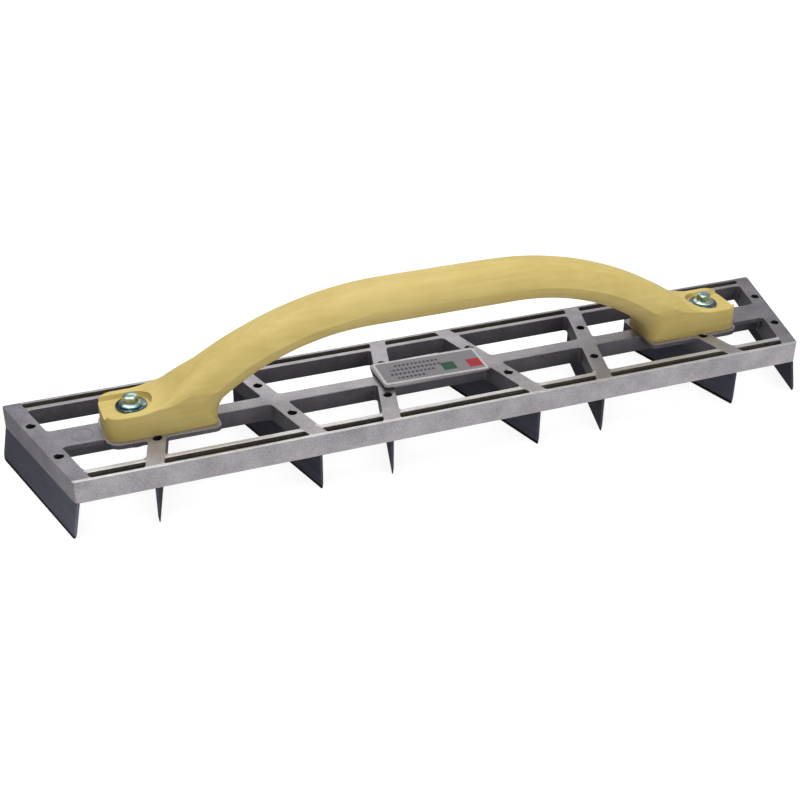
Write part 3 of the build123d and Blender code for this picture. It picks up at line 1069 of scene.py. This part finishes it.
        # Holes, grooves, window walls and end bars take painted shade; the front rims a painted
        # highlight.
        if place.z < self.top - SLACK / 2 and self.in_hole(place.x, place.y):
            return HOLE_SHADE_ALLOY
        if in_groove and not outer and self.groove_bottom - SLACK < place.z < rim - SLACK:
            return GROOVE_SHADE_ALLOY
        if place.z > rim and self.on_front_rim(place.x, place.y):
            return RIM_HIGHLIGHT_ALLOY
        if outer or place.z > rim - SLACK / 2:
            return END_SHADE_ALLOY if self.on_end(place.x, place.y) else LIT_ALLOY
        return WALL_SHADE_ALLOY

    def dress(self, piece: bpy.types.Object) -> None:
        """Gives tops and outer faces the lit copy of the alloy, paints shade on the walls, grooves, holes
        and end bars, and a highlight on the front rims.

        Args:
            piece: The casting.
        """
        finishes = [LIT_ALLOY, WALL_SHADE_ALLOY, GROOVE_SHADE_ALLOY, HOLE_SHADE_ALLOY, RIM_HIGHLIGHT_ALLOY, END_SHADE_ALLOY]
        piece.data.materials.clear()
        for finish in finishes:
            piece.data.materials.append(finish.material())
        for face in piece.data.polygons:
            face.material_index = finishes.index(self.finish_at(face.center / MM))

    def build(self) -> None:
        """Builds the casting and puts it in place of its CAD node."""
        piece = as_object(self.lattice(), "lattice_casting")
        carve(piece, self.holes())
        whole = reopened(piece)
        for extra in (self.label_pad(), self.bosses(), self.ring_mark()):
            bmesh.ops.recalc_face_normals(extra, faces=extra.faces)
            mesh = bpy.data.meshes.new("extra")
            extra.to_mesh(mesh)
            extra.free()
            whole.from_mesh(mesh)
            bpy.data.meshes.remove(mesh)
        piece = as_object(whole, "lattice_casting")
        self.dress(piece)
        smooth(piece, crease_degrees=32.0, weighted=True)
        settle(piece, ["frame_casting"])


# ------------------------------------------------------------------ blades and label
@dataclass
class CarriedOver:
    """CAD nodes whose shape is right as it is, and that only get their finish."""

    nodes: list[str] = field(default_factory=list)
    finish: Finish = BLADE_STEEL

    def build(self) -> None:
        """Gives the finish to every node."""
        for name in self.nodes:
            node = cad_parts[name]
            node.data.materials.clear()
            node.data.materials.append(self.finish.material())
            LOG.info("%s: CAD shape kept, finish %s", name, self.finish.name)


# ------------------------------------------------------------------ the bow handle
@dataclass(frozen=True)
class BowSection:
    """Cross-section of the bow between a low and a high point of its side view."""

    low: Vector
    high: Vector
    half: float
    under_across: float
    under_up: float
    over: float
    under_degrees: float
    over_degrees: float

    def outline(self, steps: int = 8) -> list[Vector]:
        """Points round the section, from the middle of its underside.

        The roundings below and above turn by under_degrees and over_degrees and stop short of
        upright, so that a ridge is left where they meet the side.

        Args:
            steps: Spans in each rounding.

        Returns:
            Points of the closed ring, in order.
        """
        height = (self.high - self.low).length
        limit = min(1.0, height / (self.under_up + self.over))
        under_up, over_up = self.under_up * limit, self.over * limit
        last = math.radians(self.under_degrees)
        side = [(0.0, 0.0), ((self.half - self.under_across) * 0.5, 0.0)]
        for step in range(steps + 1):
            angle = last * step / steps
            y = self.half - self.under_across * (1 - math.sin(angle) / math.sin(last))
            side.append((y, under_up * (1 - math.cos(angle)) / (1 - math.cos(last))))
        last = math.radians(self.over_degrees)
        for step in range(steps, -1, -1):
            angle = last * step / steps
            y = self.half - self.over * (1 - math.sin(angle) / math.sin(last))
            side.append((y, height - over_up * (1 - math.cos(angle)) / (1 - math.cos(last))))
        side += [((self.half - self.over) * 0.5, height), (0.0, height)]
        up = (self.high - self.low).normalized()
        ring = side + [(-y, v) for y, v in side[-2:0:-1]]
        return [self.low + up * v + Vector((0.0, y, 0.0)) for y, v in ring]


@dataclass
class BowHandle:
    """Bow cut from one board: rounded grip, square-topped feet with milled bolt seats."""

    base: float = 36.0
    width: float = 33.0
    rise: float = 64.8
    grip: float = 23.7
    crown_half: float = 32.0
    palm_half: float = 46.5
    foot_height: float = 14.8
    toe_flat: float = 183.5
    toe: float = 201.5
    heel: float = 138.5
    heel_wall: float = 1.8
    toe_blend: float = 36.0
    heel_blend: float = 13.0
    toe_corner: float = 9.0
    heel_corner: float = 5.5
    bolt_x: float = 184.5
    seat_width: float = 21.4
    seat_flare: float = 1.0
    seat_depth: float = 2.5
    bore: float = 6.5
    grip_over: float = 12.2
    grip_under: float = 11.2
    crisp_edge: float = 0.8
    over_fades: tuple[float, float] = (146.0, 173.0)  # between these the upper rounding shrinks
    ridge_softens: float = 80.0  # length over which the ridge softens towards the grip
    grip_turn: float = 66.0  # degrees that the roundings of the grip turn
    neck_turn: float = 50.0  # degrees that the upper rounding turns from the neck on
    foot_turn: float = 86.0  # degrees that the lower rounding turns at the foot
    crease_neck: float = 10.0  # height of the lower rounding at the neck
    crease_heel: float = 17.3  # height of the lower rounding at the heel
    crease_end: float = 161.0  # place where the lower rounding runs out
    crease_dent: float = 0.5  # extra width of the lower rounding at the heel
    neck_top: float = 147.0  # high point of the section where the heel's curve starts
    heel_lag: float = 18.5  # how far the heel's high point lies beyond its low point
    lag_ends: float = 182.5  # place from which the sections stand upright
    lag_power: float = 1.5
    sole_edge: float = 0.2
    sanding: float = 0.35  # most that sanding takes off a side
    sanding_spread: float = 16.0  # length of a sanded patch
    unsanded_foot: float = 1.3  # height of the strip above the base that sanding leaves alone
    unsanded_middle: float = 4.0  # half width of the strip along the middle that it leaves alone
    cutter_reach: float = 30.0  # how far the seat cutter is drawn out, to the toe and upwards
    bore_overrun: float = 5.0  # how far the bore cutter stands out of both faces of the foot

    def arc_top(self) -> tuple[float, float]:
        """Works out the shoulder on top.

        Returns:
            Its radius, and its turn in radians.
        """
        run, drop = self.toe_flat - self.crown_half, self.rise - self.foot_height
        turn = 2 * math.atan2(drop, run)
        return run / math.sin(turn) - self.toe_blend, turn

    def arc_under(self) -> tuple[float, float]:
        """Works out the shoulder underneath.

        Returns:
            Its radius, and its turn in radians.
        """
        run = self.heel - self.palm_half - self.heel_blend
        drop = self.rise - self.grip - self.heel_wall - self.heel_blend
        turn = 2 * math.atan2(drop, run)
        return run / math.sin(turn) + self.heel_blend, turn

    def top_height(self, x: float) -> float:
        """Height of the handle's top above its base.

        Args:
            x: Distance from the middle, not negative.

        Returns:
            Height in millimetres.
        """
        radius, turn = self.arc_top()
        if x <= self.crown_half:
            return self.rise
        if x <= self.crown_half + radius * math.sin(turn):
            return self.rise - radius + math.sqrt(radius**2 - (x - self.crown_half) ** 2)
        if x < self.toe_flat:
            dip = math.sqrt(self.toe_blend**2 - (self.toe_flat - x) ** 2)
            return self.foot_height + self.toe_blend - dip
        return self.foot_height

    def section(self, low_x: float, low_z: float, high_x: float, across: float, up: float) -> BowSection:
        """One section, whose upper rounding and ridge follow from the place of its high point.

        Args:
            low_x: Low point along the tool.
            low_z: Height of the low point above the base.
            high_x: High point along the tool.
            across: Width of the lower rounding.
            up: Height of the lower rounding.

        Returns:
            The section.
        """
        start, end = self.over_fades
        fade = min(1.0, max(0.0, (end - high_x) / (end - start)))
        half = self.width / 2
        past = min(high_x - (self.toe - self.toe_corner), self.toe_corner)
        if past > 0:
            half -= self.toe_corner - math.sqrt(self.toe_corner**2 - past**2)
        over = self.crisp_edge + (self.grip_over - self.crisp_edge) * fade
        low = Vector((low_x, 0.0, low_z + self.base))
        high = Vector((high_x, 0.0, self.top_height(high_x) + self.base))
        under_turn = self.foot_turn + (self.grip_turn - self.foot_turn) * fade
        on_grip = min(1.0, max(0.0, (start - high_x) / self.ridge_softens))
        over_turn = self.neck_turn + (self.grip_turn - self.neck_turn) * on_grip
        return BowSection(low, high, half, across, up, over, under_turn, over_turn)

    def grip_sections(self) -> list[BowSection]:
        """Places the sections from the middle of the grip down to the heel.

        Returns:
            The sections in order.
        """
        palm = self.rise - self.grip
        radius, bend = self.arc_under()
        palm_steps, shoulder_steps, heel_steps = 9, 20, 8
        found = []
        for step in range(palm_steps):
            x = self.palm_half * step / palm_steps
            found.append(self.section(x, palm, x, self.grip_under, self.grip_under))
        for step in range(shoulder_steps + 1):
            share = step / shoulder_steps
            angle = bend * share
            low_x = self.palm_half + radius * math.sin(angle)
            low_z = palm - radius * (1 - math.cos(angle))
            high_x = self.palm_half + (self.neck_top - self.palm_half) * share
            up = self.grip_under + (self.crease_neck - self.grip_under) * share
            found.append(self.section(low_x, low_z, high_x, self.grip_under, up))
        for step in range(1, heel_steps + 1):
            share = step / heel_steps
            angle = (math.pi / 2 - bend) * (1 - share)
            low_x = self.heel - self.heel_blend * (1 - math.cos(angle))
            low_z = self.heel_wall + self.heel_blend * math.sin(angle)
            high_x = self.neck_top + (self.heel + self.heel_lag - self.neck_top) * share
            across = self.grip_under + (self.heel_corner - self.grip_under) * share
            up = self.crease_neck + (self.crease_heel - self.crease_neck) * share
            found.append(self.section(low_x, low_z, high_x, across, up))
        return found

    def foot_sections(self) -> list[BowSection]:
        """Places the sections from the heel to the toe, closer together at the two rounded ends.

        Returns:
            The sections in order.
        """
        heel_shares = [0.0, 0.1, 0.25, 0.5, 0.75, 1.0]
        flat_steps, toe_steps = 24, 9
        places = [self.heel + self.heel_corner * share for share in heel_shares]
        flat_start, flat_end = places[-1], self.toe - self.toe_corner
        for step in range(1, flat_steps + 1):
            places.append(flat_start + (flat_end - flat_start) * step / flat_steps)
        for step in range(1, toe_steps + 1):
            places.append(flat_end + self.toe_corner * math.sin(math.pi / 2 * step / toe_steps))
        found = []
        for x in places:
            nearness = max(0.0, (self.lag_ends - x) / (self.lag_ends - self.heel))
            lag = self.heel_lag * nearness**self.lag_power
            into = max(0.0, 1 - (x - self.heel) / self.heel_corner)
            crease = max(0.0, (self.crease_end - x) / (self.crease_end - self.heel))
            across = self.heel_corner * (1 - math.sqrt(1 - into**2)) + self.crease_dent * crease
            up = self.crease_heel * crease + self.sole_edge
            found.append(self.section(x, 0.0, x + lag, across + self.sole_edge, up))
        return found

    def skin(self) -> bmesh.types.BMesh:
        """Runs the section along the bow from the middle to one toe, and mirrors it.

        Returns:
            The closed bow.
        """
        bm = bmesh.new()
        rings = [section.outline() for section in self.grip_sections() + self.foot_sections()]
        loop = bmesh.ops.create_circle(bm, segments=len(rings[0]), radius=1.0)["verts"]
        for vert, point in zip(loop, rings[0]):
            vert.co = point
        edges = bm.edges[:]
        # Each ring is drawn out of the one before; its points find their new places by their old ones.
        for before, after in zip(rings, rings[1:]):
            made = bmesh.ops.extrude_edge_only(bm, edges=edges)["geom"]
            target = {tuple(round(c, 3) for c in old): new for old, new in zip(before, after)}
            for vert in (item for item in made if isinstance(item, bmesh.types.BMVert)):
                vert.co = target[tuple(round(c, 3) for c in vert.co)]
            edges = [item for item in made if isinstance(item, bmesh.types.BMEdge)]
            edges = [edge for edge in edges if len(edge.link_faces) == 1]
        bmesh.ops.contextual_create(bm, geom=edges)
        bmesh.ops.mirror(bm, geom=bm.verts[:] + bm.edges[:] + bm.faces[:], axis="X", merge_dist=TINY)
        bmesh.ops.remove_doubles(bm, verts=bm.verts, dist=TINY / 2)
        bmesh.ops.recalc_face_normals(bm, faces=bm.faces)
        self.hand_work(bm)
        return bm

    def hand_work(self, bm: bmesh.types.BMesh) -> None:
        """Takes a little off here and there, as a sanded board is never quite even.

        Args:
            bm: Even bow.
        """
        for vert in bm.verts:
            above_foot = vert.co.z - self.base > self.unsanded_foot
            if above_foot and abs(vert.co.y) > self.unsanded_middle:
                off = self.sanding * (noise.noise(vert.co / self.sanding_spread) * 0.5 + 0.5)
                vert.co.y -= math.copysign(off, vert.co.y)

    def seat_cutter(self) -> bpy.types.Object:
        """Builds the cutter for the two milled seats, each open to its toe and flared at the top.

        Returns:
            The cutter.
        """
        bm = bmesh.new()
        radius = self.seat_width / 2
        for side in Side:
            made = bmesh.ops.create_circle(bm, cap_ends=True, segments=48, radius=radius)["verts"]
            for vert in made:
                if vert.co.x * side.value > TINY:
                    vert.co.x += side.value * self.cutter_reach
            seat = self.base + self.foot_height - self.seat_depth
            shift = Vector((side.value * self.bolt_x, 0, seat))
            bmesh.ops.translate(bm, vec=shift, verts=made)
            faces = [face for face in bm.faces if all(vert in made for vert in face.verts)]
            mouth = push(bm, faces, Vector((0, 0, self.seat_depth)), keep=True)
            grown = 1 + self.seat_flare / radius
            rim = list({vert for face in mouth for vert in face.verts})
            spread = Matrix.Diagonal((grown, grown, 1.0, 1.0))
            home = Matrix.Translation(Vector((side.value * self.bolt_x, 0, 0)))
            bmesh.ops.transform(bm, matrix=home @ spread @ home.inverted(), verts=rim)
            push(bm, mouth, Vector((0, 0, self.cutter_reach)))
        return as_object(bm, "seat_cutter")

    def bore_cutter(self) -> bpy.types.Object:
        """Builds the cutter for the two bolt bores.

        Returns:
            The cutter.
        """
        bm = bmesh.new()
        radius = self.bore / 2
        low, high = -self.bore_overrun, self.foot_height + self.bore_overrun
        profile = [(0.0, low), (radius, low), (radius, high), (0.0, high)]
        for side in Side:
            turned(bm, profile, Vector((side.value * self.bolt_x, 0, self.base)), steps=32)
        return as_object(bm, "bore_cutter")

    def build(self) -> None:
        """Builds the handle and puts it in place of its CAD node."""
        piece = as_object(self.skin(), "bow_handle")
        carve(piece, self.seat_cutter())
        carve(piece, self.bore_cutter())
        piece.data.materials.clear()
        piece.data.materials.append(WOOD.material())
        smooth(piece, crease_degrees=24.0)
        settle(piece, ["handle"])


# ------------------------------------------------------------------ bolts and washers
@dataclass
class FlangeBolt:
    """Hexagon bolt with a flange, and the washer under it."""

    side: Side
    x: float = 184.5
    seat: float = 48.3
    washer_diameter: float = 17.5
    washer_bore: float = 6.4
    washer: float = 1.5
    flange_diameter: float = 13.0
    flange: float = 1.5
    across_flats: float = 8.0
    head: float = 4.5
    shank_diameter: float = 6.0
    shank: float = 25.0
    shank_chamfer: float = 0.6
    washer_soft: float = 0.45  # rounding of the upper edge
    washer_bow: float = 0.13  # how far the middle of that rounding lies in from the corner
    washer_burr: float = 0.1
    flange_edge: float = 0.15
    flange_side: float = 0.6
    flange_shoulder: tuple[float, float] = (0.2, 0.85)  # in from the rim, and height
    flange_root: tuple[float, float] = (0.2, 1.6)  # in from the hexagon's corners, and height
    flange_middle: tuple[float, float] = (1.2, 1.8)  # in from the hexagon's corners, and height
    hex_turn_degrees: float = 17.0
    hex_edge: float = 0.35
    hex_start: float = 0.4  # how high above the washer the hexagon starts, inside the flange
    dome_margin: float = 1.0  # how far the dome's cutter stands out beyond the corners
    dome_foot: float = 1.9  # how far below the top that cutter turns inwards
    # In from the hexagon's corners, and down from its top.
    dome: tuple[tuple[float, float], ...] = ((0.0, 1.35), (0.55, 0.75), (1.2, 0.4), (2.4, 0.12))

    @property
    def label(self) -> str:
        """Which end of the tool the bolt is at, in lower case."""
        return self.side.name.lower()

    @property
    def corner(self) -> float:
        """Distance from the bolt's middle to a corner of its hexagon."""
        return self.across_flats / 2 / math.cos(math.radians(30))

    def build_washer(self) -> None:
        """Builds the stamped washer: slightly rounded above, crisp below."""
        bm = bmesh.new()
        inside, outside = self.washer_bore / 2, self.washer_diameter / 2
        soft, bow, burr, top = self.washer_soft, self.washer_bow, self.washer_burr, self.washer
        profile = [(inside, 0.0), (outside - burr, 0.0), (outside, burr), (outside, top - soft)]
        profile += [(outside - bow, top - bow), (outside - soft, top), (inside, top)]
        turned(bm, profile, Vector((self.side.value * self.x, 0, self.seat)), steps=56)
        piece = as_object(bm, f"stamped_washer_{self.label}")
        piece.data.materials.append(SHADED_WASHER_ZINC.material())
        smooth(piece, crease_degrees=50.0)
        settle(piece, [f"washer_{self.label}"])

    def hexagon(self, place: Vector) -> bpy.types.Object:
        """Builds the hexagon of the head, domed on top.

        Args:
            place: Middle of the washer's top.

        Returns:
            The hexagon as an object.
        """
        corner, whole = self.corner, self.flange + self.head
        depth = whole - self.hex_start
        bm = bmesh.new()
        bmesh.ops.create_cone(bm, cap_ends=True, segments=6, radius1=corner, radius2=corner, depth=depth)
        turn = Matrix.Rotation(math.radians(self.hex_turn_degrees), 3, "Z")
        bmesh.ops.rotate(bm, cent=(0, 0, 0), matrix=turn, verts=bm.verts)
        bmesh.ops.translate(bm, vec=place + Vector((0, 0, whole - depth / 2)), verts=bm.verts)
        bmesh.ops.recalc_face_normals(bm, faces=bm.faces)
        upright = [edge for edge in bm.edges if edge.calc_face_angle(0.0) < HEX]
        bevel(bm, upright, self.hex_edge, segments=3)
        head = as_object(bm, f"hexagon_{self.label}")
        bm = bmesh.new()
        wide = corner + self.dome_margin
        profile = [(0.0, 0.0), (wide, 0.0), (wide, whole - self.dome_foot)]
        profile += [(corner - inset, whole - drop) for inset, drop in self.dome]
        turned(bm, profile + [(0.0, whole)], place, steps=48)
        carve(head, as_object(bm, "dome_cutter"), Cut.SHARED)
        return head

    def build_bolt(self) -> None:
        """Builds the head, its flange and the shank."""
        place = Vector((self.side.value * self.x, 0, self.seat + self.washer))
        bm = reopened(self.hexagon(place))
        rim, shank, chamfer = self.flange_diameter / 2, self.shank_diameter / 2, self.shank_chamfer
        profile = [(0.0, -self.shank), (shank - chamfer, -self.shank), (shank, chamfer - self.shank)]
        profile += [(shank, 0.0), (rim - self.flange_edge, 0.0), (rim, self.flange_edge)]
        profile += [(rim, self.flange_side), (rim - self.flange_shoulder[0], self.flange_shoulder[1])]
        on_top = (self.flange_root, self.flange_middle)
        profile += [(self.corner - inset, height) for inset, height in on_top]
        profile.append((0.0, self.flange_middle[1]))
        turned(bm, profile, place, steps=48)
        piece = as_object(bm, f"flange_bolt_{self.label}")
        piece.data.materials.append(ZINC.material())
        smooth(piece, crease_degrees=40.0)
        settle(piece, [f"bolt_{self.label}"])

    def build(self) -> None:
        """Builds the washer and the bolt."""
        self.build_washer()
        self.build_bolt()


# ------------------------------------------------------------------ studio
@dataclass(frozen=True)
class SoftBox:
    """One large soft light aimed at the tool."""

    name: str
    place: tuple[float, float, float]
    size: tuple[float, float]
    power: float
    tint: str = "#FFFFFF"
    aim: tuple[float, float, float] = (0.0, 0.0, 0.04)

    def build(self) -> None:
        """Hangs the light."""
        lamp = bpy.data.lights.new(self.name, "AREA")
        lamp.shape = "RECTANGLE"
        lamp.size, lamp.size_y = self.size
        lamp.energy = self.power
        lamp.color = srgb(self.tint)[:3]
        holder = bpy.data.objects.new(self.name, lamp)
        holder.location = self.place
        away = Vector(self.place) - Vector(self.aim)
        holder.rotation_euler = away.to_track_quat("Z", "Y").to_euler()
        bpy.context.scene.collection.objects.link(holder)


@dataclass
class Studio:
    """Pale floor, soft lights and the camera."""

    azimuth: float = -21.412
    elevation: float = 30.393
    roll: float = 0.497
    lens: float = 60.55
    eye: tuple[float, float, float] = (-280.25, -653.71, 431.07)
    floor_size: float = 12.0
    floor_gap: float = 0.2  # clears the blade edges, which would shimmer in the floor
    sky_strength: float = 0.4
    left_sky: float = 0.08
    seen_sky: float = 0.95  # strength of the sky where the camera looks straight at it
    sky_turns: tuple[float, float] = (-0.5, 0.3)
    lights: tuple[SoftBox, ...] = (
        SoftBox("overhead", (-0.4, 0.0, 1.9), (2.4, 2.0), 41.0),
        SoftBox("front_right", (1.1, -1.7, 1.2), (1.0, 1.0), 10.0),
        SoftBox("back_strip", (0.35, 1.45, 0.95), (0.9, 0.4), 2.5),
    )

    def camera(self) -> None:
        """Stands the camera."""
        az, el, roll = (math.radians(angle) for angle in (self.azimuth, self.elevation, self.roll))
        back = Vector((math.sin(az) * math.cos(el), -math.cos(az) * math.cos(el), math.sin(el)))
        right = (-back).cross(Vector((0, 0, 1))).normalized()
        up = back.cross(right)
        leant_right = math.cos(roll) * right + math.sin(roll) * up
        leant_up = math.cos(roll) * up - math.sin(roll) * right
        data = bpy.data.cameras.new("camera")
        data.sensor_width = 36.0
        data.lens = self.lens
        data.clip_start = 0.01
        holder = bpy.data.objects.new("camera", data)
        turn = Matrix((leant_right, leant_up, back)).transposed()
        holder.matrix_world = Matrix.Translation(Vector(self.eye) * MM) @ turn.to_4x4()
        bpy.context.scene.collection.objects.link(holder)
        bpy.context.scene.camera = holder

    def floor(self) -> None:
        """Lays the floor just under the blade edges."""
        bm = bmesh.new()
        bmesh.ops.create_grid(bm, x_segments=1, y_segments=1, size=self.floor_size / 2 / MM)
        bmesh.ops.translate(bm, vec=Vector((0, 0, -self.floor_gap)), verts=bm.verts)
        sheet = as_object(bm, "floor")
        sheet.data.materials.append(FLOOR.material())

    def sky(self) -> None:
        """Fills the room with soft light, weaker from the left, behind an even white to look at."""
        world = bpy.data.worlds.new("room")
        world.use_nodes = True
        world.node_tree.nodes.clear()
        tree = world.node_tree
        place = add(tree, "ShaderNodeTexCoord").outputs["Generated"]
        sideways = add(tree, "ShaderNodeSeparateXYZ", {"Vector": place}).outputs["X"]
        left, right = self.sky_turns
        limits = {"Value": sideways, "From Min": left, "From Max": right}
        limits |= {"To Min": self.left_sky, "To Max": self.sky_strength}
        thrown = add(tree, "ShaderNodeMapRange", limits).outputs[0]
        looked_at = add(tree, "ShaderNodeLightPath").outputs["Is Camera Ray"]
        limits = {"Value": looked_at, "To Min": thrown, "To Max": self.seen_sky}
        strength = add(tree, "ShaderNodeMapRange", limits).outputs[0]
        sky = add(tree, "ShaderNodeBackground", {"Color": srgb("#FFFFFF"), "Strength": strength})
        add(tree, "ShaderNodeOutputWorld", {"Surface": sky.outputs[0]})
        bpy.context.scene.world = world

    def build(self) -> None:
        """Sets up the whole studio."""
        self.camera()
        self.floor()
        self.sky()
        for light in self.lights:
            light.build()
        bpy.context.scene.view_settings.view_transform = "Standard"
        LOG.info("studio: %d lights", len(self.lights))


def main() -> None:
    """Builds every piece in order."""
    logging.basicConfig(level=logging.INFO, format="%(name)s: %(message)s")
    Studio().build()
    LatticeCasting().build()
    CarriedOver([f"scraper_blade_{number}" for number in range(2, 9)], BLADE_STEEL).build()
    CarriedOver(["scraper_blade_1"], LIT_BLADE_STEEL).build()
    BowHandle().build()
    for side in Side:
        FlangeBolt(side).build()
    CarriedOver(["label_plate"], FOIL).build()


if __name__ == "__main__":
    main()
